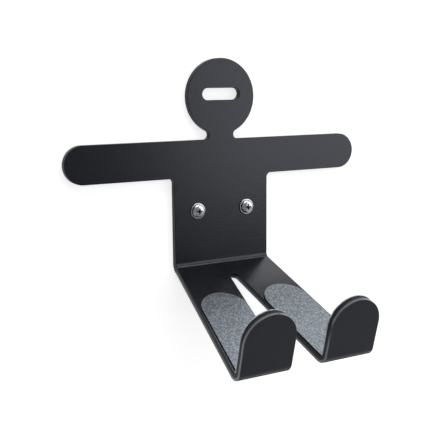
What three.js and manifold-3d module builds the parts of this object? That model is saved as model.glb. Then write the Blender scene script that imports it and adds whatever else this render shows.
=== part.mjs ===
// Bike wall rack: a bent steel plate in the outline of a figure with outstretched arms,
// with padded legs that carry a bicycle by its frame.
// Millimetres, +Z up, +X to the right of someone who faces the wall, -Y away from the wall.
// The wall is the plane y = 0, and the origin lies on it, midway between the two screws.
import * as THREE from 'three';
import { mergeVertices } from 'three/addons/utils/BufferGeometryUtils.js';
import Module from 'manifold-3d';

// Sheet and bends
const sheetThickness = 5;
const hipBendRadius = 3.5; // inside radius, between torso and legs
const toeBendRadius = 3.2; // inside radius, between legs and feet

// Figure, seen from the front
const armSpan = 250;
const armHeight = 28;
const armRise = 39.5; // arms' centre line above the screws
const headDiameter = 57;
const headRise = 46.25; // head's centre above the arms' centre line
const neckFilletRadius = 3.45;
const armpitFilletRadius = 3.7;
const torsoWidth = 81.2;
const hipDrop = 41.3; // inside corner of the hip bend below the screws

// Slot through the head
const headSlotLength = 32;
const headSlotHeight = 9;
const headSlotRise = 48; // slot's centre above the arms' centre line

// Legs and feet
const legSlopeDegrees = 23.2; // legs' fall below the horizontal
const legLength = 127.9; // hip's inside corner to the toe's sharp outside corner
const footLeanDegrees = 14.4; // feet's lean away from the wall
const footHeight = 50.3; // toe's sharp outside corner to the foot's top, along the foot
const footOuterSpan = 107.9; // over both feet
const footGap = 28.2; // between the feet
const slitStart = 16.6; // slit's closed end, measured along the legs from the hip's corner
const slitEndRadius = 3.6;

// Pads
const padThickness = 0.8;
const padClearance = 0.3; // under the pad, to the painted plate
const padOuterMargin = 2.2; // from the leg's outer edge
const padInnerMargin = 0.75; // from the leg's edge on the slit
const padFootMargin = 0.2; // from the foot's edges
const padTopRise = 0.5; // pad's top above the foot's top
const padStart = 38.5; // pad's near end, measured along the legs from the hip's corner
const padCreaseRadius = 1; // least inside radius of the pad's own bend

// Screws and washers
const screwSpacing = 42.8;
const screwHoleDiameter = 5.5;
const washerDiameter = 12;
const washerBore = 5.3;
const washerThickness = 1;
const seatGap = 0.1; // between plate, washer and screw head
const screwHeadDiameter = 10;
const screwHeadHeight = 2.6;
const screwHeadEdge = 0.5; // height of the head's straight rim
const screwCrownRadius = 2.1;
const shankDiameter = 4.8;
const shankLength = 40; // under the head, point included
const shankPointLength = 6;
const recessWidth = 4.8; // across the cross
const recessSlotWidth = 1.2;
const recessDepth = 1.7;
const recessFloorWidth = 2.2; // across the cross at its floor

const overrun = 1; // by which cutting shapes run past what they cut

// Steps along the curves
const outlineSteps = 24;
const bendSteps = 10;
const turnedSteps = 32;

const halfTurn = Math.PI;
const quarterTurn = halfTurn / 2;
const legSlope = THREE.MathUtils.degToRad(legSlopeDegrees);
const footLean = THREE.MathUtils.degToRad(footLeanDegrees);

const wasm = await Module();
wasm.setup();

// Solids for cutting and joining

function solidOf(geometry, matrix = new THREE.Matrix4()) {
  let bare = geometry.index ? geometry.toNonIndexed() : geometry.clone();
  bare.deleteAttribute('normal');
  bare.deleteAttribute('uv');
  bare.applyMatrix4(matrix);
  bare = mergeVertices(bare, overrun / 1e5);
  const mesh = new wasm.Mesh({
    numProp: 3,
    vertProperties: new Float32Array(bare.attributes.position.array),
    triVerts: new Uint32Array(bare.index.array),
  });
  return new wasm.Manifold(mesh);
}

function geometryOf(solid) {
  const mesh = solid.getMesh();
  const geometry = new THREE.BufferGeometry();
  geometry.setAttribute('position', new THREE.BufferAttribute(mesh.vertProperties, mesh.numProp));
  geometry.setIndex(new THREE.BufferAttribute(mesh.triVerts, 1));
  const faceted = geometry.toNonIndexed();
  faceted.computeVertexNormals();
  return faceted;
}

function basis(x, y, z, origin = new THREE.Vector3()) {
  return new THREE.Matrix4().makeBasis(x, y, z).setPosition(origin);
}

function prism(points, depth, matrix, start = 0) {
  const geometry = new THREE.ExtrudeGeometry(new THREE.Shape(points), {
    depth, bevelEnabled: false,
  });
  geometry.translate(0, 0, start);
  return solidOf(geometry, matrix);
}

function mirrored(points) {
  return points.map((p) => new THREE.Vector2(-p.x, p.y)).reverse();
}

// Side view. Points are (out from the wall, up), and lines are offsets from the plate's
// outer skin, which is the wall side of the torso, the underside of the legs and the outer
// face of the feet.

const legNormal = new THREE.Vector2(Math.sin(legSlope), Math.cos(legSlope));
const legRun = new THREE.Vector2(Math.cos(legSlope), -Math.sin(legSlope));
const footNormal = new THREE.Vector2(-Math.cos(footLean), Math.sin(footLean));
const footRun = new THREE.Vector2(Math.sin(footLean), Math.cos(footLean));
const hipCorner = new THREE.Vector2(sheetThickness, -hipDrop);
const toeCorner = hipCorner.clone()
  .addScaledVector(legRun, legLength)
  .addScaledVector(legNormal, -sheetThickness);
const toeTurn = quarterTurn + legSlope - footLean;

function legLine(offset) {
  const point = hipCorner.clone().addScaledVector(legNormal, offset - sheetThickness);
  return { point, run: legRun };
}

function footLine(offset) {
  return { point: toeCorner.clone().addScaledVector(footNormal, offset), run: footRun };
}

function torsoLine(offset) {
  return { point: new THREE.Vector2(offset, 0), run: new THREE.Vector2(0, -1) };
}

function crossing(a, b) {
  const gap = b.point.clone().sub(a.point);
  const share = gap.cross(b.run) / a.run.cross(b.run);
  return a.point.clone().addScaledVector(a.run, share);
}

function hipCentre(radius, offset = sheetThickness) {
  return crossing(torsoLine(offset + radius), legLine(offset + radius));
}

function toeCentre(radius, offset = sheetThickness) {
  return crossing(legLine(offset + radius), footLine(offset + radius));
}

function arcPoints(centre, radius, from, to, steps) {
  const curve = new THREE.EllipseCurve(centre.x, centre.y, radius, radius, from, to, to < from);
  return curve.getPoints(steps);
}

const hipArc = [halfTurn, halfTurn + quarterTurn - legSlope];
const toeArc = [halfTurn + quarterTurn - legSlope, 2 * halfTurn - footLean];

function plateSide(top, footEnd) {
  const hip = hipCentre(hipBendRadius);
  const toe = toeCentre(toeBendRadius);
  const outerEnd = footLine(0).point.addScaledVector(footRun, footEnd);
  const innerEnd = footLine(sheetThickness).point.addScaledVector(footRun, footEnd);
  return [
    new THREE.Vector2(0, top),
    ...arcPoints(hip, hipBendRadius + sheetThickness, ...hipArc, bendSteps),
    ...arcPoints(toe, toeBendRadius + sheetThickness, ...toeArc, bendSteps),
    outerEnd, innerEnd,
    ...arcPoints(toe, toeBendRadius, ...toeArc, bendSteps).reverse(),
    ...arcPoints(hip, hipBendRadius, ...hipArc, bendSteps).reverse(),
    new THREE.Vector2(sheetThickness, top),
  ];
}

// A side view becomes a ribbon across the width.
function ribbon(points, halfWidth) {
  const matrix = basis(
    new THREE.Vector3(0, -1, 0), new THREE.Vector3(0, 0, 1), new THREE.Vector3(-1, 0, 0),
    new THREE.Vector3(halfWidth, 0, 0));
  return prism(points, 2 * halfWidth, matrix);
}

// Leg frame: x across, y down along the leg from the hip's corner, z from the leg's top
// into the sheet.
const legBasis = basis(
  new THREE.Vector3(1, 0, 0),
  new THREE.Vector3(0, -legRun.x, legRun.y),
  new THREE.Vector3(0, legNormal.x, -legNormal.y),
  new THREE.Vector3(0, -hipCorner.x, hipCorner.y));

// Foot frame: x across, y up along the foot from the toe's corner, z from its outer face
// towards the viewer.
const footBasis = basis(
  new THREE.Vector3(1, 0, 0),
  new THREE.Vector3(0, -footRun.x, footRun.y),
  new THREE.Vector3(0, footNormal.x, -footNormal.y),
  new THREE.Vector3(0, -toeCorner.x, toeCorner.y));

// Figure

const armEndRadius = armHeight / 2;
const armTop = armRise + armEndRadius;
const headCentre = new THREE.Vector2(0, armRise + headRise);
const headRadius = headDiameter / 2;
const halfTorso = torsoWidth / 2;

function figureOutline(bottom) {
  const r = neckFilletRadius;
  const rise = headCentre.y - armTop - r;
  const neckX = Math.sqrt((headRadius + r) ** 2 - rise ** 2);
  const touch = Math.atan2(rise, -neckX);
  const path = new THREE.Path();
  path.moveTo(halfTorso, bottom);
  path.lineTo(halfTorso, armTop - armHeight - armpitFilletRadius);
  path.absarc(halfTorso + armpitFilletRadius, armTop - armHeight - armpitFilletRadius,
    armpitFilletRadius, halfTurn, quarterTurn, true);
  path.lineTo(armSpan / 2 - armEndRadius, armTop - armHeight);
  path.absarc(armSpan / 2 - armEndRadius, armRise, armEndRadius, -quarterTurn, quarterTurn);
  path.lineTo(neckX, armTop);
  path.absarc(neckX, armTop + r, r, -quarterTurn, touch - 2 * halfTurn, true);
  path.absarc(headCentre.x, headCentre.y, headRadius, touch - halfTurn, quarterTurn);
  const right = path.getPoints(outlineSteps);
  return [...right, ...mirrored(right).slice(1)];
}

function headSlotOutline() {
  const r = headSlotHeight / 2;
  const reach = headSlotLength / 2 - r;
  const path = new THREE.Path();
  path.absarc(reach, armRise + headSlotRise, r, -quarterTurn, quarterTurn);
  path.absarc(-reach, armRise + headSlotRise, r, quarterTurn, halfTurn + quarterTurn);
  return path.getPoints(outlineSteps);
}

// From the front: x across, y up, z towards the viewer, from the wall.
const frontBasis = basis(
  new THREE.Vector3(1, 0, 0), new THREE.Vector3(0, 0, 1), new THREE.Vector3(0, -1, 0));

function frontPrism(points, depth, start) {
  return prism(points, depth, frontBasis, start);
}

// Legs and feet. Both are drawn for the right leg, which is at +X.

const footOuter = footOuterSpan / 2;
const footInner = footGap / 2;
const footWidth = footOuter - footInner;
const footMiddle = (footOuter + footInner) / 2;
const slitCentre = slitStart + slitEndRadius;

// The legs have reached the feet's width where the bend's inside is halfway round.
const legBendStart = legLength - (toeBendRadius + sheetThickness) * Math.tan(toeTurn / 2);
const flareEnd = legBendStart + toeBendRadius * Math.sin(toeTurn / 2);
const flareAngle = Math.atan2(footOuter - halfTorso, flareEnd);
const slitReach = flareEnd - slitCentre;
const slitAngle = Math.atan2(footInner, slitReach)
  - Math.asin(slitEndRadius / Math.hypot(footInner, slitReach));

function legsOutline(near, far) {
  const right = [
    new THREE.Vector2(halfTorso, -near),
    new THREE.Vector2(halfTorso, 0),
    new THREE.Vector2(footOuter, flareEnd),
    new THREE.Vector2(footOuter, far),
  ];
  return [...right, ...mirrored(right)];
}

function slitOutline(far) {
  const end = arcPoints(new THREE.Vector2(0, slitCentre), slitEndRadius,
    halfTurn + slitAngle, 2 * halfTurn - slitAngle, outlineSteps);
  return [
    new THREE.Vector2(-footInner, far),
    new THREE.Vector2(-footInner, flareEnd),
    ...end,
    new THREE.Vector2(footInner, flareEnd),
    new THREE.Vector2(footInner, far),
  ];
}

function footOutline(bottom, margin, top) {
  const radius = footWidth / 2 - margin;
  const centre = new THREE.Vector2(footMiddle, top - radius);
  return [
    new THREE.Vector2(footMiddle - radius, bottom),
    new THREE.Vector2(footMiddle + radius, bottom),
    ...arcPoints(centre, radius, 0, halfTurn, outlineSteps),
  ];
}

function figurePlate() {
  const reach = legLength + sheetThickness;
  const bendRise = toeBendRadius + sheetThickness;
  const bottom = -hipDrop - hipBendRadius - sheetThickness;
  const side = plateSide(headCentre.y + headRadius + overrun, footHeight + overrun);
  const body = ribbon(side, armSpan / 2 + overrun);

  const figure = frontPrism(figureOutline(bottom), sheetThickness + hipBendRadius + overrun,
    -overrun);
  const legs = prism(legsOutline(sheetThickness + overrun, reach),
    sheetThickness + bendRise + overrun, legBasis, -bendRise);
  const slit = prism(slitOutline(reach), 2 * overrun + sheetThickness + bendRise,
    legBasis, -bendRise - overrun);
  const foot = footOutline(0, 0, footHeight);
  const rightFoot = prism(foot, sheetThickness + 2 * overrun, footBasis,
    -sheetThickness - overrun);
  const leftFoot = prism(mirrored(foot), sheetThickness + 2 * overrun, footBasis,
    -sheetThickness - overrun);

  const outline = figure.add(legs.subtract(slit)).add(rightFoot).add(leftFoot);
  let plate = body.intersect(outline);
  const through = sheetThickness + 2 * overrun;
  plate = plate.subtract(frontPrism(headSlotOutline(), through, -overrun));
  for (const x of screwPlaces) {
    const hole = arcPoints(new THREE.Vector2(x, 0), screwHoleDiameter / 2, 0, 2 * halfTurn,
      outlineSteps).slice(1);
    plate = plate.subtract(frontPrism(hole, through, -overrun));
  }
  return plate;
}

// Pads: one strip each, up the leg, round the bend and up the foot.

function padSide(footEnd) {
  const low = sheetThickness + padClearance;
  const high = low + padThickness;
  const outerRadius = Math.max(toeBendRadius - padClearance, padCreaseRadius + padThickness);
  const innerRadius = outerRadius - padThickness;
  const toe = toeCentre(outerRadius, low);
  const from = legLine(low).point;
  const to = legLine(high).point;
  return [
    from,
    ...arcPoints(toe, outerRadius, ...toeArc, bendSteps),
    footLine(low).point.addScaledVector(footRun, footEnd),
    footLine(high).point.addScaledVector(footRun, footEnd),
    ...arcPoints(toe, innerRadius, ...toeArc, bendSteps).reverse(),
    to,
  ];
}

// The pad's near end is a half round between its two long edges. Its margins narrow
// from the leg's to the foot's within the bend.
function padLegOutline(far) {
  const outerSlope = Math.tan(flareAngle);
  const innerSlope = Math.tan(slitAngle);
  const innerMargin = padInnerMargin / Math.cos(slitAngle);
  const outerMargin = padOuterMargin / Math.cos(flareAngle);
  const innerEdge = (along) => footInner - (flareEnd - along) * innerSlope + innerMargin;
  const outerEdge = (along) => footOuter - (flareEnd - along) * outerSlope - outerMargin;
  const spread = 1 / Math.cos(flareAngle) + 1 / Math.cos(slitAngle) - outerSlope + innerSlope;
  const radius = (outerEdge(padStart) - innerEdge(padStart)) / spread;
  const start = padStart + radius;
  const centre = new THREE.Vector2(innerEdge(start) + radius / Math.cos(slitAngle), start);
  const arc = arcPoints(centre, radius, halfTurn - slitAngle, 2 * halfTurn - flareAngle,
    outlineSteps);
  return [
    new THREE.Vector2(footInner + padFootMargin, far),
    new THREE.Vector2(footInner + padFootMargin, flareEnd),
    new THREE.Vector2(innerEdge(legBendStart), legBendStart),
    ...arc,
    new THREE.Vector2(outerEdge(legBendStart), legBendStart),
    new THREE.Vector2(footOuter - padFootMargin, flareEnd),
    new THREE.Vector2(footOuter - padFootMargin, far),
  ];
}

function pad(turn) {
  const reach = legLength + sheetThickness;
  const lift = toeBendRadius + sheetThickness;
  const strip = ribbon(padSide(footHeight + padTopRise + overrun), armSpan / 2);
  const leg = prism(turn(padLegOutline(reach)), lift, legBasis, -lift);
  const footTop = footHeight + padTopRise;
  const depth = padClearance + padThickness + 2 * overrun;
  const foot = prism(turn(footOutline(sheetThickness, padFootMargin, footTop)), depth,
    footBasis, -sheetThickness - depth + overrun);
  return strip.intersect(leg.add(foot));
}

// Screws and washers, turned about the Y axis

const screwPlaces = [-screwSpacing / 2, screwSpacing / 2];
const washerBack = sheetThickness + seatGap;
const headBack = washerBack + washerThickness + seatGap;

// A profile of (radius, out from the wall) is turned about the wall's normal.
function turned(profile) {
  const geometry = new THREE.LatheGeometry(profile, turnedSteps);
  return solidOf(geometry, new THREE.Matrix4().makeRotationX(halfTurn));
}

function washer() {
  const inner = washerBore / 2;
  const outer = washerDiameter / 2;
  const front = washerBack + washerThickness;
  return turned([
    new THREE.Vector2(inner, washerBack),
    new THREE.Vector2(outer, washerBack),
    new THREE.Vector2(outer, front),
    new THREE.Vector2(inner, front),
    new THREE.Vector2(inner, washerBack),
  ]);
}

function crossRecess() {
  const front = headBack + screwHeadHeight;
  const floor = front - recessDepth;
  const slope = (recessWidth - recessFloorWidth) / 2 / recessDepth;
  const mouth = recessWidth / 2 + slope * overrun;
  const wedge = [
    new THREE.Vector2(-recessFloorWidth / 2, floor),
    new THREE.Vector2(recessFloorWidth / 2, floor),
    new THREE.Vector2(mouth, front + overrun),
    new THREE.Vector2(-mouth, front + overrun),
  ];
  const out = new THREE.Vector3(0, -1, 0);
  const right = new THREE.Vector3(1, 0, 0);
  const up = new THREE.Vector3(0, 0, 1);
  const half = recessSlotWidth / 2;
  const flat = prism(wedge, recessSlotWidth,
    basis(right, out, up.clone().negate(), up.clone().multiplyScalar(half)));
  const tall = prism(wedge, recessSlotWidth,
    basis(up, out, right, right.clone().multiplyScalar(-half)));
  return flat.add(tall);
}

function screw() {
  const shank = shankDiameter / 2;
  const head = screwHeadDiameter / 2;
  const tip = headBack - shankLength;
  const front = headBack + screwHeadHeight;
  const crown = Math.min(screwCrownRadius, screwHeadHeight - screwHeadEdge);
  const dome = arcPoints(new THREE.Vector2(head - crown, front - crown), crown,
    0, quarterTurn, bendSteps);
  const body = turned([
    new THREE.Vector2(0, tip),
    new THREE.Vector2(shank, tip + shankPointLength),
    new THREE.Vector2(shank, headBack),
    new THREE.Vector2(head, headBack),
    ...dome,
    new THREE.Vector2(0, front),
  ]);
  return body.subtract(crossRecess());
}

// Looks

const paint = new THREE.MeshStandardMaterial({ color: 0x1c1d20, roughness: 0.5, metalness: 0.1 });
const padding = new THREE.MeshStandardMaterial({ color: 0x6c747e, roughness: 0.95, metalness: 0 });
const zinc = new THREE.MeshStandardMaterial({ color: 0xc4c8cc, roughness: 0.35, metalness: 0.9 });

function named(name, solid, material) {
  const mesh = new THREE.Mesh(geometryOf(solid), material);
  mesh.name = name;
  return mesh;
}

const rack = new THREE.Group();
rack.name = 'bike_wall_rack';
rack.add(named('figure_plate', figurePlate(), paint));
rack.add(named('left_pad', pad(mirrored), padding));
rack.add(named('right_pad', pad((points) => points), padding));

['left', 'right'].forEach((side, index) => {
  const washerMesh = named(side + '_washer', washer(), zinc);
  const screwMesh = named(side + '_screw', screw(), zinc);
  for (const mesh of [washerMesh, screwMesh]) {
    mesh.position.x = screwPlaces[index];
    rack.add(mesh);
  }
});

export default rack;
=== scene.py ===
import math

import bmesh
import bpy
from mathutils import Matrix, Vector
from mathutils.geometry import tessellate_polygon


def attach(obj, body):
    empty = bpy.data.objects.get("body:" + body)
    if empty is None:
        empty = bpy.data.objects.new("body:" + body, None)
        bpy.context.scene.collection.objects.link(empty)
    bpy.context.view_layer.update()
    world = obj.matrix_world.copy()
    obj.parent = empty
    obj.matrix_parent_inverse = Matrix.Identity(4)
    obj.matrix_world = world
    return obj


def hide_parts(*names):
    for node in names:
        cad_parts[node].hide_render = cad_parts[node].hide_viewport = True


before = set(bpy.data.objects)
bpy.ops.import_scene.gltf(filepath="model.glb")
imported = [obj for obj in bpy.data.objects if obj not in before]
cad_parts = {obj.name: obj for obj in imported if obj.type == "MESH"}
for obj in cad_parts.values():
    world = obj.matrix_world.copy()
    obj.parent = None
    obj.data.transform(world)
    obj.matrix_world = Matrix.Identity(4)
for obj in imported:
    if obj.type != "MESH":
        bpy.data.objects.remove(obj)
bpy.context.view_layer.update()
MM = 0.001

# Sizes in millimetres: sheet, bends and outline, as in the solids
SHEET = 5.0
HIP_R = 3.5
TOE_R = 3.2
ARM_SPAN, ARM_H, ARM_RISE = 250.0, 28.0, 39.5
HEAD_D, HEAD_RISE = 57.0, 46.25
NECK_R, ARMPIT_R = 3.45, 3.7
TORSO_W, HIP_DROP = 81.2, 41.3
SLOT_L, SLOT_H, SLOT_RISE = 32.0, 9.0, 48.0
SLOPE, LEAN = math.radians(23.2), math.radians(14.4)
LEG_L, FOOT_H = 127.9, 50.3
FOOT_SPAN, FOOT_GAP = 107.9, 28.2
SLIT_START, SLIT_R = 16.6, 3.6

# Rounding of the plate's edges
EDGE_R = 0.35         # on the body, and on the outer skin of the legs and feet
LEG_EDGE_R = 0.6      # on the legs and feet, on the padded side
BAND = 0.4            # share of a cut wall, next to the outer skin; on the legs and feet it carries a paler, glossier copy of the coat, a painted highlight
SOLE_START = 0.3      # share of the toe's bend, from the foot, that belongs to the foot's front; the underside beyond it, up to the hip bend, gets the coat's copy without reflection, a painted shade

# Pads
PAD_T, PAD_SEAT = 1.0, 0.1   # thickness, and gap over the paint
PAD_OUT, PAD_IN, PAD_FOOT = 2.2, 0.75, 0.2   # margins on the leg's two edges and on the foot
PAD_RISE, PAD_START = 0.5, 38.5   # top over the foot's top, and near end along the leg
PAD_EDGE = 0.25       # rounding of the edges

# Screws and washers
SCREW_GAP, HOLE_D = 42.8, 5.5
WASHER_D, WASHER_BORE, WASHER_T = 12.0, 5.3, 1.0
WASHER_ROUND = 0.32   # rounding of the edges
SEAT = 0.1            # gap between plate, washer and screw head
SCREW_D, SCREW_H, SCREW_RIM = 10.0, 2.6, 0.5
SCREW_CHAMFER = 0.15  # round the foot of the head
CROWN = 0.85          # below 1, the crown is fuller than an ellipse
SHADE_H = 1.2         # painted shade: dark band round the foot of the head, where it meets the washer
SHANK_D, SHANK_L, POINT_L = 4.8, 40.0, 6.0
PITCH, CORE_R = 2.2, 1.65
RIDGE = 0.32          # half width of the thread's ridge, as a share of the pitch
PLAIN_L, PLAIN_STEP, RUN_OUT = 8.0, 0.35, 2.0   # shank without thread, and where that fades in
TAPER = 0.8           # below 1, the point is blunter than a cone
RECESS_W, RECESS_SLOT, RECESS_DEEP, RECESS_FLOOR = 4.8, 1.45, 1.7, 2.4
RECESS_NARROW, RECESS_WIDE = 0.8, 1.12   # slot's width at its floor and above the head
OVERRUN = 1           # by which the cutter stands above the head
SINK = 0.01           # by which the head's back bulges at its middle

# Steps along curves
HIP_STEPS, TOE_STEPS = 16, 24
SLIT_STEPS, FOOT_STEPS, ARMPIT_STEPS, ARM_STEPS = 16, 56, 12, 48
NECK_STEPS, HEAD_STEPS, SLOT_STEPS, HOLE_STEPS = 14, 64, 24, 48
PLATE_RINGS, PAD_RINGS = 5, 4
TURN_STEPS, ROUND_STEPS, CROWN_STEPS = 96, 5, 24
THREAD_SIDES, THREAD_RINGS = 28, 10   # round the shank, and along each pitch

# Parts of a bent sheet's surface
INNER_SKIN, LOWER_EDGE, WALL_BAND, WALL, UPPER_EDGE, OUTER_SKIN = range(6)

HALF = math.pi
QUARTER = HALF / 2
HIP_TURN = QUARTER - SLOPE
TOE_TURN = QUARTER + SLOPE - LEAN

# Flat pattern: x across, v up the torso and on down the legs and feet. Each bend is
# unrolled along the sheet's middle.
HIP_TOP = -HIP_DROP + HIP_R * math.tan(HIP_TURN / 2)
HIP_ARC = (HIP_R + SHEET / 2) * HIP_TURN
LEG_FROM = HIP_R * math.tan(HIP_TURN / 2)
LEG_TO = LEG_L - (TOE_R + SHEET) * math.tan(TOE_TURN / 2)
TOE_ARC = (TOE_R + SHEET / 2) * TOE_TURN
FOOT_FROM = (TOE_R + SHEET) * math.tan(TOE_TURN / 2)
V_LEG = HIP_TOP - HIP_ARC
V_TOE = V_LEG - (LEG_TO - LEG_FROM)
V_FOOT = V_TOE - TOE_ARC
V_SOLE = V_FOOT + TOE_ARC * SOLE_START
V_FLARE = V_TOE - TOE_ARC / 2

LEG_RUN = Vector((math.cos(SLOPE), -math.sin(SLOPE)))
LEG_UP = Vector((math.sin(SLOPE), math.cos(SLOPE)))
FOOT_RUN = Vector((math.sin(LEAN), math.cos(LEAN)))
FOOT_IN = Vector((-math.cos(LEAN), math.sin(LEAN)))
HIP = Vector((SHEET, -HIP_DROP))
HIP_CENTRE = Vector((SHEET + HIP_R, HIP_TOP))
TOE_CENTRE = HIP + LEG_RUN * LEG_TO + LEG_UP * TOE_R
TOE = HIP + LEG_RUN * LEG_L - LEG_UP * SHEET

HALF_TORSO = TORSO_W / 2
FOOT_OUT_X, FOOT_IN_X = FOOT_SPAN / 2, FOOT_GAP / 2
FOOT_W = FOOT_OUT_X - FOOT_IN_X
FOOT_MID = (FOOT_OUT_X + FOOT_IN_X) / 2
FLARE_END = LEG_TO + TOE_R * math.sin(TOE_TURN / 2)
FLARE = math.atan2(FOOT_OUT_X - HALF_TORSO, FLARE_END)
SLIT_C = SLIT_START + SLIT_R
SLIT_A = (math.atan2(FOOT_IN_X, FLARE_END - SLIT_C)
          - math.asin(SLIT_R / math.hypot(FOOT_IN_X, FLARE_END - SLIT_C)))


def leg_v(along):
    return V_LEG - (along - LEG_FROM)


def foot_v(height):
    return V_FOOT - (height - FOOT_FROM)


def round_bend(centre, radius, h, turned):
    n = Vector((-math.cos(turned), -math.sin(turned)))
    return centre - n * (radius + SHEET - h), Vector((-n.y, n.x)), n


def bend(v, h):
    """Flat height v and offset h from the outer skin: (out, up), uphill run, inward normal."""
    if v >= HIP_TOP:
        return Vector((h, v)), Vector((0, 1)), Vector((1, 0))
    if v > V_LEG:
        return round_bend(HIP_CENTRE, HIP_R, h, HALF + HIP_TURN * (HIP_TOP - v) / HIP_ARC)
    if v >= V_TOE:
        return (HIP + LEG_RUN * (LEG_FROM + V_LEG - v) + LEG_UP * (h - SHEET),
                -LEG_RUN, LEG_UP)
    if v > V_FOOT:
        turned = HALF + QUARTER - SLOPE + TOE_TURN * (V_TOE - v) / TOE_ARC
        return round_bend(TOE_CENTRE, TOE_R, h, turned)
    return TOE + FOOT_RUN * (FOOT_FROM + V_FOOT - v) + FOOT_IN * h, -FOOT_RUN, FOOT_IN


# Outlines in the flat pattern
def arc(cx, cy, r, a0, a1, steps):
    turns = [a0 + (a1 - a0) * i / steps for i in range(steps + 1)]
    return [(cx + r * math.cos(a), cy + r * math.sin(a)) for a in turns]


def mirror(points):
    return [(-x, y) for x, y in reversed(points)]


def clean(points, least=1e-4):
    """The loop without points that fall on the one before."""
    out = []
    for p in points:
        if not out or math.dist(p, out[-1]) > least:
            out.append(p)
    if math.dist(out[0], out[-1]) < least:
        out.pop()
    return out


def plate_outline():
    top = ARM_RISE + ARM_H / 2
    low = ARM_RISE - ARM_H / 2
    head_y, head_r = ARM_RISE + HEAD_RISE, HEAD_D / 2
    rise = head_y - top - NECK_R
    neck_x = math.sqrt((head_r + NECK_R) ** 2 - rise ** 2)
    touch = math.atan2(rise, -neck_x)
    end = ARM_SPAN / 2 - ARM_H / 2
    foot_c = foot_v(FOOT_H - FOOT_W / 2)
    right = arc(0, leg_v(SLIT_C), SLIT_R, QUARTER, SLIT_A, SLIT_STEPS)
    right += [(FOOT_IN_X, V_FLARE), (FOOT_IN_X, foot_c)]
    right += arc(FOOT_MID, foot_c, FOOT_W / 2, HALF, 2 * HALF, FOOT_STEPS)
    right += [(FOOT_OUT_X, V_FLARE),
              (HALF_TORSO + math.tan(FLARE) * LEG_TO, V_TOE),
              (HALF_TORSO + math.tan(FLARE) * LEG_FROM, V_LEG), (HALF_TORSO, HIP_TOP)]
    right += arc(HALF_TORSO + ARMPIT_R, low - ARMPIT_R, ARMPIT_R, HALF, QUARTER, ARMPIT_STEPS)
    right += arc(end, ARM_RISE, ARM_H / 2, -QUARTER, QUARTER, ARM_STEPS)
    right += arc(neck_x, top + NECK_R, NECK_R, -QUARTER, touch - 2 * HALF, NECK_STEPS)
    right += arc(0, head_y, head_r, touch - HALF, QUARTER, HEAD_STEPS)
    return clean(right + mirror(right))


def slot_outline():
    r, reach = SLOT_H / 2, SLOT_L / 2 - SLOT_H / 2
    y = ARM_RISE + SLOT_RISE
    return clean(arc(reach, y, r, -QUARTER, QUARTER, SLOT_STEPS)
                 + arc(-reach, y, r, QUARTER, 3 * QUARTER, SLOT_STEPS))


def hole_outline(x):
    return clean(arc(x, 0, HOLE_D / 2, 0, 2 * HALF, HOLE_STEPS))


def pad_outline():
    outer_tan, inner_tan = math.tan(FLARE), math.tan(SLIT_A)
    outer_long, inner_long = 1 / math.cos(FLARE), 1 / math.cos(SLIT_A)

    def inner(along):
        return FOOT_IN_X - (FLARE_END - along) * inner_tan + PAD_IN * inner_long

    def outer(along):
        return FOOT_OUT_X - (FLARE_END - along) * outer_tan - PAD_OUT * outer_long

    r = ((outer(PAD_START) - inner(PAD_START))
         / (outer_long + inner_long - outer_tan + inner_tan))
    start = PAD_START + r
    foot_r = FOOT_W / 2 - PAD_FOOT
    foot_c = foot_v(FOOT_H + PAD_RISE - foot_r)
    pts = arc(FOOT_MID, foot_c, foot_r, HALF, 2 * HALF, FOOT_STEPS)
    pts += [(FOOT_OUT_X - PAD_FOOT, V_FLARE), (outer(LEG_TO), V_TOE)]
    pts += arc(inner(start) + r * inner_long, leg_v(start), r, FLARE, HALF + SLIT_A, FOOT_STEPS)
    pts += [(inner(LEG_TO), V_TOE), (FOOT_IN_X + PAD_FOOT, V_FLARE)]
    return clean(pts)


# Bent sheets
def outward(points, hole):
    """The closed loop, turned so that its normals point out of the sheet, with the unit
    normal at each point and the stretch that keeps an offset even at a corner."""
    area = sum(a[0] * b[1] - b[0] * a[1] for a, b in zip(points, points[1:] + points[:1]))
    if (area > 0) == hole:
        points = points[::-1]
    normals = []
    for i, q in enumerate(points):
        p, r = points[i - 1], points[(i + 1) % len(points)]
        a = Vector((q[1] - p[1], p[0] - q[0])).normalized()
        b = Vector((r[1] - q[1], q[0] - r[0])).normalized()
        m = (a + b).normalized()
        normals.append((m, 1 / max(0.5, m.dot(a))))
    return points, normals


def add_object(name, data):
    made = bpy.data.objects.new(name, data)
    bpy.context.scene.collection.objects.link(made)
    return made


def object_from(name, bm):
    mesh = bpy.data.meshes.new(name)
    bm.to_mesh(mesh)
    bm.free()
    return add_object(name, mesh)


def add_walls(bm, store, loops, low, high, under, over, rings):
    """The rounded edges and cut walls of a flat sheet, with their parts as face slots.
    Returns each loop's lowest and highest rows of verts."""
    turns = [QUARTER * k / rings for k in range(rings + 1)]
    levels = [(a, -1) for a in turns] + [(QUARTER, 0)] + [(a, 1) for a in reversed(turns)]
    lowest, highest = [], []
    for points, hole in loops:
        points, normals = outward(points, hole)
        grid = []
        for a, side in levels:
            row = []
            for (x, v), (n, stretch) in zip(points, normals):
                e = over(v) if side > 0 else under(v)
                inset, rise = e * (1 - math.sin(a)) * stretch, e * (1 - math.cos(a))
                h = (low + rise, low + BAND * (high - low), high - rise)[side + 1]
                vert = bm.verts.new((x - n.x * inset, v - n.y * inset, h))
                vert[store] = (n.x * math.sin(a), n.y * math.sin(a), math.cos(a) * side)
                row.append(vert)
            grid.append(row)
        count = len(points)
        parts = [LOWER_EDGE] * rings + [WALL_BAND, WALL] + [UPPER_EDGE] * rings
        for part, lower, upper in zip(parts, grid, grid[1:]):
            for i in range(count):
                j = (i + 1) % count
                face = bm.faces.new((lower[i], lower[j], upper[j], upper[i]))
                face.material_index = part
        lowest.append(grid[0])
        highest.append(grid[-1])
    return lowest, highest


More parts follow.
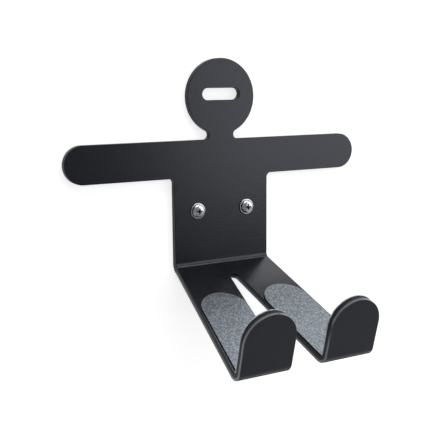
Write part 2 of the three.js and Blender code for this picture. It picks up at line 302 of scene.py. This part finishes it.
def add_skin(bm, rows, faces_up, part):
    """Fills the flat area between the rows of verts."""
    verts = [vert for row in rows for vert in row]
    flat = [[Vector((vert.co.x, vert.co.y, 0)) for vert in row] for row in rows]
    for tri in tessellate_polygon(flat):
        corners = [verts[i] for i in tri]
        a, b, c = (vert.co.to_2d() for vert in corners)
        turn = (b - a).cross(c - a)
        if abs(turn) < 1e-9:
            continue
        if (turn > 0) != faces_up:
            corners.reverse()
        bm.faces.new(corners).material_index = part


def cut_at_bends(bm):
    """Cuts the flat sheet across wherever its bends turn a step further."""
    cuts = [HIP_TOP - HIP_ARC * i / HIP_STEPS for i in range(HIP_STEPS + 1)]
    cuts += [V_TOE - TOE_ARC * i / TOE_STEPS for i in range(TOE_STEPS + 1)]
    for v in cuts:
        geom = bm.verts[:] + bm.edges[:] + bm.faces[:]
        bmesh.ops.bisect_plane(bm, geom=geom, dist=1e-5, plane_co=(0, v, 0), plane_no=(0, 1, 0))


def bend_verts(bm, store):
    """Moves the flat sheet's verts to their places in metres, and returns their normals."""
    normals = []
    for vert in bm.verts:
        x, v, h = vert.co
        fn = vert[store].normalized()
        at, run, up = bend(v, h)
        n = Vector((fn.x, -(run.x * fn.y + up.x * fn.z), run.y * fn.y + up.y * fn.z))
        normals.append(n.normalized())
        vert.co = (x * MM, -at.x * MM, at.y * MM)
    return normals


def bent_sheet(name, loops, low, high, under, over, slot_of, rings):
    """A sheet between offsets low and high, bent along the side view. Its edges are rounded
    to under(v) below and over(v) above. slot_of(part, v) gives the slot of every part but
    the inner skin, which has slot 0."""
    bm = bmesh.new()
    store = bm.verts.layers.float_vector.new("flat_normal")
    lowest, highest = add_walls(bm, store, loops, low, high, under, over, rings)
    add_skin(bm, lowest, False, OUTER_SKIN)
    add_skin(bm, highest, True, INNER_SKIN)
    cut_at_bends(bm)
    for face in bm.faces:
        part = face.material_index
        if part != INNER_SKIN:
            face.material_index = slot_of(part, face.calc_center_median().y)
    normals = bend_verts(bm, store)
    piece = object_from(name, bm)
    piece.data.shade_smooth()
    piece.data.normals_split_custom_set_from_vertices(normals)
    return piece


# Materials
def material(name):
    m = bpy.data.materials.new(name)
    m.use_nodes = True
    tree = m.node_tree
    shader = tree.nodes["Principled BSDF"]
    where = tree.nodes.new("ShaderNodeTexCoord")
    return m, tree, shader, where


def node(tree, kind, **values):
    made = tree.nodes.new(kind)
    for key, value in values.items():
        if key in made.inputs:
            made.inputs[key].default_value = value
        else:
            setattr(made, key, value)
    return made


def noise(tree, where, scale, detail, rough):
    n = node(tree, "ShaderNodeTexNoise", Scale=scale, Detail=detail, Roughness=rough)
    tree.links.new(where.outputs["Object"], n.inputs["Vector"])
    return n


def ramp(tree, source, stops):
    """A colour ramp; a stop's value is a colour or a plain number."""
    r = tree.nodes.new("ShaderNodeValToRGB")
    tree.links.new(source, r.inputs["Fac"])
    els = r.color_ramp.elements
    while len(els) < len(stops):
        els.new(0.5)
    for e, (pos, col) in zip(els, stops):
        e.position = pos
        e.color = (*col, 1) if isinstance(col, tuple) else (col, col, col, 1)
    return r


def bump(tree, height, shader, strength, distance, chain=None):
    b = node(tree, "ShaderNodeBump", Strength=strength, Distance=distance)
    tree.links.new(height, b.inputs["Height"])
    if chain:
        tree.links.new(chain.outputs["Normal"], b.inputs["Normal"])
    tree.links.new(b.outputs["Normal"], shader.inputs["Normal"])
    return b


def set_inputs(shader, **values):
    for key, value in values.items():
        shader.inputs[key.replace("_", " ")].default_value = value


def powder_coat(name, dark, pale, gloss, smooth, rough):
    m, t, s, w = material(name)
    fine = noise(t, w, scale=2600, detail=3, rough=0.6)
    broad = noise(t, w, scale=18, detail=3, rough=0.5)
    tint = ramp(t, broad.outputs["Fac"], [(0.3, dark), (0.7, pale)])
    t.links.new(tint.outputs["Color"], s.inputs["Base Color"])
    grain = noise(t, w, scale=800, detail=3, rough=0.6)
    spread = ramp(t, grain.outputs["Fac"], [(0.35, smooth), (0.65, rough)])
    t.links.new(spread.outputs["Color"], s.inputs["Roughness"])
    set_inputs(s, Specular_IOR_Level=gloss, Specular_Tint=(0.86, 0.89, 1.0, 1))
    peel = noise(t, w, scale=1100, detail=2, rough=0.5)
    first = bump(t, peel.outputs["Fac"], s, strength=0.35, distance=0.0002)
    bump(t, fine.outputs["Fac"], s, strength=0.25, distance=0.00006, chain=first)
    return m


def felt(name, dark, mid, pale):
    m, t, s, w = material(name)
    specks = node(t, "ShaderNodeTexVoronoi", Scale=1250)
    t.links.new(w.outputs["Object"], specks.inputs["Vector"])
    fuzz = noise(t, w, scale=1500, detail=2, rough=0.5)
    blotch = noise(t, w, scale=160, detail=3, rough=0.6)
    colour = ramp(t, specks.outputs["Color"], [(0.58, dark), (0.6, mid), (0.63, pale)])
    tone = ramp(t, blotch.outputs["Fac"], [(0.3, 0.85), (0.7, 1.0)])
    mix = node(t, "ShaderNodeMix", data_type="RGBA", blend_type="MULTIPLY")
    mix.inputs["Factor"].default_value = 1.0
    t.links.new(colour.outputs["Color"], mix.inputs["A"])
    t.links.new(tone.outputs["Color"], mix.inputs["B"])
    t.links.new(mix.outputs["Result"], s.inputs["Base Color"])
    set_inputs(s, Roughness=0.28, IOR=2.65, Specular_Tint=(0.84, 0.91, 1.0, 1))
    first = bump(t, fuzz.outputs["Fac"], s, strength=0.4, distance=0.0003)
    bump(t, blotch.outputs["Fac"], s, strength=0.3, distance=0.0006, chain=first)
    return m


def dull(name, scale, dark, pale, rough, gloss, strength, distance):
    m, t, s, w = material(name)
    grain = noise(t, w, scale=scale, detail=3, rough=0.6)
    colour = ramp(t, grain.outputs["Fac"], [(0.3, dark), (0.7, pale)])
    t.links.new(colour.outputs["Color"], s.inputs["Base Color"])
    set_inputs(s, Roughness=rough, Specular_IOR_Level=gloss)
    bump(t, grain.outputs["Fac"], s, strength, distance)
    return m


def zinc():
    m, t, s, w = material("zinc_plate")
    cloud = noise(t, w, scale=380, detail=4, rough=0.6)
    colour = ramp(t, cloud.outputs["Fac"], [(0.3, (0.70, 0.72, 0.75)), (0.7, (0.86, 0.88, 0.90))])
    t.links.new(colour.outputs["Color"], s.inputs["Base Color"])
    set_inputs(s, Metallic=1.0)
    rough = ramp(t, cloud.outputs["Fac"], [(0.3, 0.16), (0.7, 0.3)])
    t.links.new(rough.outputs["Color"], s.inputs["Roughness"])
    fine = noise(t, w, scale=2200, detail=2, rough=0.5)
    bump(t, fine.outputs["Fac"], s, strength=0.2, distance=0.00005)
    return m


# Screws and washers
def to_object(name, bm):
    """An object from solid work in millimetres."""
    bmesh.ops.recalc_face_normals(bm, faces=bm.faces[:])
    bmesh.ops.scale(bm, vec=(MM,) * 3, verts=bm.verts[:])
    return object_from(name, bm)


def lathe(name, profile, centre, closed=False):
    """Turned piece about the wall's normal; profile of (radius, out from the wall)."""
    bm = bmesh.new()
    rows = []
    for r, y in profile:
        if r < 1e-6:
            rows.append([bm.verts.new((centre, -y, 0))])
            continue
        turns = [2 * HALF * i / TURN_STEPS for i in range(TURN_STEPS)]
        rows.append([bm.verts.new((centre + r * math.cos(a), -y, r * math.sin(a)))
                     for a in turns])
    pairs = list(zip(rows, rows[1:]))
    if closed:
        pairs.append((rows[-1], rows[0]))
    for a, b in pairs:
        for i in range(TURN_STEPS):
            j = (i + 1) % TURN_STEPS
            ring = (a[i % len(a)], a[j % len(a)], b[j % len(b)], b[i % len(b)])
            bm.faces.new(list(dict.fromkeys(ring)))
    return to_object(name, bm)


def rounded(profile, radius):
    """Rounds the corners of a closed profile."""
    out = []
    count = len(profile)
    for i in range(count):
        p, q, r = (Vector(profile[k % count]) for k in (i - 1, i, i + 1))
        a, b = (p - q).normalized(), (r - q).normalized()
        for k in range(ROUND_STEPS + 1):
            s = k / ROUND_STEPS
            out.append(tuple(q + a * radius * (1 - s) ** 2 + b * radius * s ** 2))
    return out


def washer(name, x):
    back = SHEET + SEAT
    front = back + WASHER_T
    inside, outside = WASHER_BORE / 2, WASHER_D / 2
    corners = [(inside, back), (outside, back), (outside, front), (inside, front)]
    piece = lathe(name, rounded(corners, WASHER_ROUND), x, closed=True)
    piece.data.shade_smooth()
    return piece


def recess_cutter(x, front):
    """Two crossed tapering bars."""
    bm = bmesh.new()
    reach = RECESS_W / 2 + (RECESS_W - RECESS_FLOOR) / 2 / RECESS_DEEP
    ends = ((front - RECESS_DEEP, RECESS_FLOOR / 2, RECESS_SLOT / 2 * RECESS_NARROW),
            (front + OVERRUN, reach, RECESS_SLOT / 2 * RECESS_WIDE))
    for upright in (False, True):
        corners = []
        for y, long, wide in ends:
            for sx, sz in ((-1, -1), (1, -1), (1, 1), (-1, 1)):
                u, v = sx * long, sz * wide
                if upright:
                    u, v = v, u
                corners.append(bm.verts.new((x + u, -y, v)))
        for quad in ((0, 1, 2, 3), (7, 6, 5, 4), (0, 4, 5, 1), (1, 5, 6, 2), (2, 6, 7, 3),
                     (3, 7, 4, 0)):
            bm.faces.new([corners[i] for i in quad])
    return to_object("cutter", bm)


def screw_head(name, x, base):
    """The turned head with its cross recess cut in."""
    front, rim, r = base + SCREW_H, base + SCREW_RIM, SCREW_D / 2
    profile = [(0, base - SINK), (SHANK_D / 2, base), (r - SCREW_CHAMFER, base),
               (r, base + SCREW_CHAMFER)]
    for i in range(CROWN_STEPS + 1):
        a = QUARTER * i / CROWN_STEPS
        profile.append((r * math.cos(a) ** CROWN, rim + (front - rim) * math.sin(a) ** CROWN))
    piece = lathe(name, profile, x)
    cutter = recess_cutter(x, front)
    mod = piece.modifiers.new("recess", "BOOLEAN")
    mod.object = cutter
    mod.solver = "EXACT"
    mod.use_self = True
    dg = bpy.context.evaluated_depsgraph_get()
    cut = bpy.data.meshes.new_from_object(piece.evaluated_get(dg))
    cut.materials.clear()
    piece.modifiers.clear()
    piece.data = cut
    bpy.data.objects.remove(cutter)
    return piece


def shade_head(bm, x, base):
    """Gives the recess's walls and floor and the foot of the head slot 1, the painted shade."""
    floor = base + SCREW_H - RECESS_DEEP
    for face in bm.faces:
        c = face.calc_center_median() / MM
        near, far = sorted((abs(c.x - x), abs(c.z)))
        if near < RECESS_SLOT and far < RECESS_W / 2:
            face.material_index = int(abs(face.normal.y) < 0.5 or -c.y < floor + 0.1)
        elif -c.y < base + SHADE_H:
            face.material_index = 1


def shank_radius(y, base, around):
    """Radius at height y and at a share of the turn. The thread winds down to the point."""
    tip, outer = base - SHANK_L, SHANK_D / 2
    phase = (y / PITCH - around) % 1.0
    ridge = max(0.0, 1 - abs(phase - 0.5) / RIDGE)
    body = CORE_R + (outer - CORE_R) * ridge
    fade = min(1.0, max(0.0, (base - PLAIN_L - y) / RUN_OUT))
    near = min(1.0, (y - tip) / POINT_L)
    return (body * fade + (outer - PLAIN_STEP) * (1 - fade)) * (near ** TAPER)


def add_shank(bm, x, base):
    rings = int(SHANK_L / PITCH * THREAD_RINGS)
    point = bm.verts.new((x * MM, -(base - SHANK_L) * MM, 0))
    rows = []
    for k in range(1, rings + 1):
        y = base - SHANK_L + SHANK_L * k / rings
        row = []
        for i in range(THREAD_SIDES):
            r = shank_radius(y, base, i / THREAD_SIDES)
            a = 2 * HALF * i / THREAD_SIDES
            row.append(bm.verts.new(((x + r * math.cos(a)) * MM, -y * MM, r * math.sin(a) * MM)))
        rows.append(row)
    following = [(i, (i + 1) % THREAD_SIDES) for i in range(THREAD_SIDES)]
    for a, b in zip(rows, rows[1:]):
        for i, j in following:
            bm.faces.new((a[i], a[j], b[j], b[i]))
    for i, j in following:
        bm.faces.new((point, rows[0][j], rows[0][i]))
    bm.faces.new(rows[-1])


def screw(name, x):
    base = SHEET + SEAT + WASHER_T + SEAT
    piece = screw_head(name, x, base)
    bm = bmesh.new()
    bm.from_mesh(piece.data)
    shade_head(bm, x, base)
    add_shank(bm, x, base)
    bmesh.ops.recalc_face_normals(bm, faces=bm.faces[:])
    bm.to_mesh(piece.data)
    bm.free()
    piece.data.shade_smooth()
    piece.data.set_sharp_from_angle(angle=math.radians(35))
    return piece


# The object
# Base colours of the coat's duller copies on the cut walls and the legs' undersides, which stand
# in for shade
CUT_DARK, CUT_PALE = (0.012, 0.014, 0.017), (0.018, 0.020, 0.024)
paint = powder_coat("powder_coat", (0.0020, 0.0034, 0.0054), (0.0028, 0.0044, 0.0066),
                    gloss=0.75, smooth=0.185, rough=0.255)
# Duller copy of the coat with little reflection for the cut walls, keeping them dark as if
# shaded: painted shade
paint_wall_shade = powder_coat("powder_coat_cut_edge_shade", CUT_DARK, CUT_PALE,
                         gloss=0.12, smooth=0.34, rough=0.42)
# Copy of the coat without any reflection for the legs' undersides: painted shade
paint_under_shade = powder_coat("powder_coat_underside_shade", CUT_DARK, CUT_PALE,
                          gloss=0.0, smooth=0.6, rough=0.7)
# Paler, glossier copy of the coat for the legs' and feet's lower edges: a painted highlight
paint_highlight_band = powder_coat("powder_coat_painted_highlight", (0.044, 0.047, 0.052), (0.056, 0.059, 0.064),
                         gloss=1.0, smooth=0.14, rough=0.22)
pad_cloth = felt("pad_felt", (0.0, 0.001, 0.002), (0.04, 0.053, 0.068), (0.2, 0.245, 0.29))
# Paler copy of the felt for the pad's edges round the foot: a painted highlight
pad_highlight_rim = felt("pad_felt_painted_highlight", (0.25, 0.27, 0.29), (0.45, 0.47, 0.5), (0.68, 0.7, 0.73))
# Very dark, dull material for the pad's cut sides along the legs; round the foot the same sides
# get the pale painted highlight
pad_dark_side = dull("pad_dark_side", 1400, (0.006, 0.007, 0.008), (0.016, 0.018, 0.021),
                rough=0.9, gloss=0.2, strength=0.4, distance=0.0002)
plating = zinc()
# Painted shade in the screws' cross recesses and round the foot of each head
painted_shade = dull("recess_shade", 1800, (0.003, 0.003, 0.004), (0.012, 0.012, 0.014),
                   rough=0.7, gloss=0.25, strength=0.3, distance=0.0001)


def dress(piece, cad, mats):
    for mat in mats:
        piece.data.materials.append(mat)
    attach(piece, "root")
    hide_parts(cad)


def plate_slot(part, v):
    """0 is the paint, 1 the cut edge's duller copy of the coat (painted shade), 2 the underside's
    copy without any reflection (painted shade) and 3 the paler, glossier edge copy (painted
    highlight).
    """
    if part == OUTER_SKIN:
        return 2 if V_SOLE < v < V_LEG else 0
    return 3 if v < V_LEG and part in (LOWER_EDGE, WALL_BAND) else 1


def pad_slot(part, v):
    """0 is the felt, 1 the very dark material on the pad's sides along the legs and 2 a paler
    felt round the foot's edges, a painted highlight.
    """
    if part == OUTER_SKIN:
        return 0
    if v < V_FLARE:
        return 2
    return 0 if part == UPPER_EDGE else 1


plate_loops = [(plate_outline(), False), (slot_outline(), True)]
plate_loops += [(hole_outline(x), True) for x in (-SCREW_GAP / 2, SCREW_GAP / 2)]
plate = bent_sheet("painted_plate", plate_loops, 0.0, SHEET, lambda v: EDGE_R,
                   lambda v: EDGE_R if v > V_LEG else LEG_EDGE_R, plate_slot, PLATE_RINGS)
dress(plate, "figure_plate", (paint, paint_wall_shade, paint_under_shade, paint_highlight_band))

for side, sign in (("left", -1), ("right", 1)):
    outline = [(sign * x, y) for x, y in pad_outline()]
    low = SHEET + PAD_SEAT
    pad = bent_sheet(side + "_felt", [(outline, False)], low, low + PAD_T,
                     lambda v: PAD_EDGE, lambda v: PAD_EDGE, pad_slot, PAD_RINGS)
    dress(pad, side + "_pad", (pad_cloth, pad_dark_side, pad_highlight_rim))
    x = sign * SCREW_GAP / 2
    dress(washer(side + "_zinc_washer", x), side + "_washer", (plating,))
    dress(screw(side + "_zinc_screw", x), side + "_screw", (plating, painted_shade))


# Stage
def panel(name, corners, mat):
    mesh = bpy.data.meshes.new(name)
    mesh.from_pydata([Vector(c) for c in corners], [], [(0, 1, 2, 3)])
    mesh.materials.append(mat)
    add_object(name, mesh)


def stage_white(name, level, glow):
    """White of the given level that glows only for what looks at or mirrors it, and is
    clear from its back."""
    m = bpy.data.materials.new(name)
    m.use_nodes = True
    t = m.node_tree
    t.nodes.clear()
    out = t.nodes.new("ShaderNodeOutputMaterial")
    diffuse = node(t, "ShaderNodeBsdfDiffuse", Color=(level, level, level, 1))
    path = t.nodes.new("ShaderNodeLightPath")
    seen = path.outputs["Is Camera Ray"]
    for ray in ("Is Glossy Ray", "Is Transmission Ray"):
        either = node(t, "ShaderNodeMath", operation="MAXIMUM")
        t.links.new(seen, either.inputs[0])
        t.links.new(path.outputs[ray], either.inputs[1])
        seen = either.outputs[0]
    scale = node(t, "ShaderNodeMath", operation="MULTIPLY")
    scale.inputs[1].default_value = glow
    t.links.new(seen, scale.inputs[0])
    emit = node(t, "ShaderNodeEmission", Color=(1, 1, 1, 1))
    t.links.new(scale.outputs[0], emit.inputs["Strength"])
    add = t.nodes.new("ShaderNodeAddShader")
    t.links.new(diffuse.outputs[0], add.inputs[0])
    t.links.new(emit.outputs[0], add.inputs[1])
    clear = t.nodes.new("ShaderNodeBsdfTransparent")
    geo = t.nodes.new("ShaderNodeNewGeometry")
    mix = t.nodes.new("ShaderNodeMixShader")
    t.links.new(geo.outputs["Backfacing"], mix.inputs[0])
    t.links.new(add.outputs[0], mix.inputs[1])
    t.links.new(clear.outputs[0], mix.inputs[2])
    t.links.new(mix.outputs[0], out.inputs["Surface"])
    return m


WIDE, FLOOR = 3.0, -0.62   # metres
WALL_Y = 0.0004            # just behind the plate's flat back
panel("wall", [(-WIDE, WALL_Y, FLOOR), (WIDE, WALL_Y, FLOOR), (WIDE, WALL_Y, WIDE),
               (-WIDE, WALL_Y, WIDE)], stage_white("wall_white", level=0.75, glow=0.74))
panel("floor", [(-WIDE, -WIDE, FLOOR), (WIDE, -WIDE, FLOOR), (WIDE, WIDE, FLOOR),
                (-WIDE, WIDE, FLOOR)], stage_white("floor_white", level=0.52, glow=0.0))

# Light
world = bpy.data.worlds.new("studio")
bpy.context.scene.world = world
world.use_nodes = True
background = world.node_tree.nodes["Background"]
background.inputs["Color"].default_value = (1, 1, 1, 1)
background.inputs["Strength"].default_value = 0.18


def lamp(name, place, aim, width, height, power):
    data = bpy.data.lights.new(name, "AREA")
    data.shape = "RECTANGLE"
    data.size, data.size_y, data.energy = width, height, power
    made = add_object(name, data)
    made.location = place
    made.rotation_mode = "QUATERNION"
    made.rotation_quaternion = (Vector(aim) - Vector(place)).to_track_quat("-Z", "Y")


MIDDLE = (0, -0.05, 0)
lamp("key", (1.15, -1.03, 0.42), MIDDLE, width=1.5, height=1.5, power=8.6)
lamp("top", (-0.1, -0.45, 1.5), MIDDLE, width=1.3, height=1.0, power=14)
lamp("strip", (0.8, -0.22, 1.45), (0.8, -0.2201, 0), width=0.7, height=0.36, power=1.8)

# Camera
camera = add_object("camera", bpy.data.cameras.new("camera"))
camera.location = (-0.30109, -0.54585, 0.09656)
camera.rotation_euler = [math.radians(turn) for turn in (80.321, 0.488, -29.022)]
camera.data.sensor_width = 36.0
camera.data.lens = 66.32
camera.data.clip_start, camera.data.clip_end = 0.01, 20
bpy.context.scene.camera = camera
bpy.context.scene.view_settings.view_transform = "Standard"
